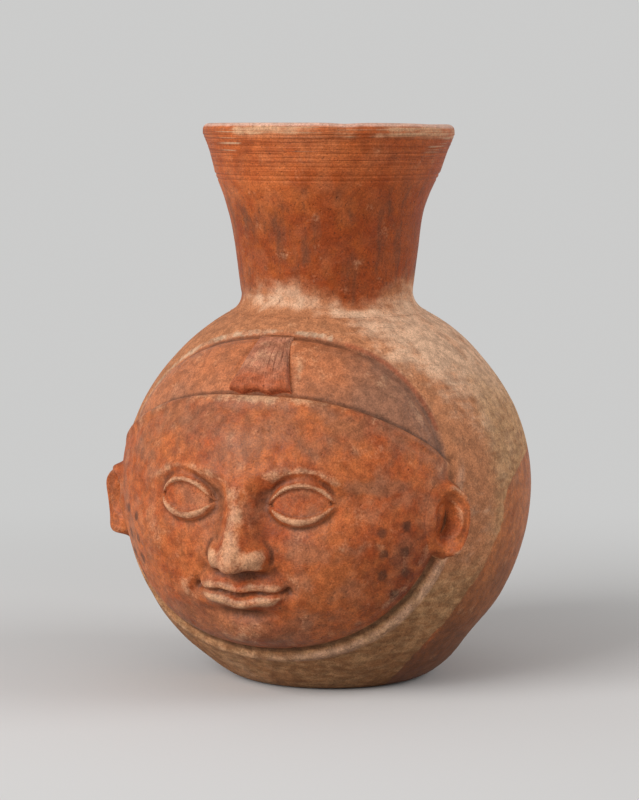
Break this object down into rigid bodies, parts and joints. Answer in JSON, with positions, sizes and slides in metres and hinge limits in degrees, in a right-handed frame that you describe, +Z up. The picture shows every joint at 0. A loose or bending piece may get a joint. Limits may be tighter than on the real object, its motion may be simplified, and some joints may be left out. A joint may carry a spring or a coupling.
{
  "type": "mould-made portrait jar",
  "caption": "Fired-clay jar: a globe moulded as a head with a cap of hair and forelock, applied ears, a flat base and a tall flaring neck.",
  "frame": {"origin": "centre of the flat that the vessel stands on, on the globe's axis", "axes": "+Z up along the axis of globe and neck, -Y the way the face looks, +X to the right of someone who faces it"},
  "size_m": [0.1672, 0.1811, 0.225],
  "materials": {
    "face_slip": "burnished red-orange slip with cream border",
    "hair_slip": "burnished red-brown slip",
    "body_slip": "matt cream slip, worn",
    "base_slip": "matt cream slip, rubbed",
    "neck_slip": "burnished red-orange slip",
    "bare_clay": "rough bare fired clay"
  },
  "bodies": {
    "root": {"front_half": "face_slip", "back_half": "body_slip", "base_disc": "base_slip", "neck_wall": "neck_slip", "neck_rim": "neck_slip", "neck_fillet": "body_slip", "left_ear": "face_slip", "right_ear": "face_slip", "forelock": "hair_slip", "left_seam_coil": "bare_clay", "right_seam_coil": "bare_clay", "base_joint_coil": "bare_clay", "neck_joint_coil": "bare_clay"}
  },
  "joints": []
}
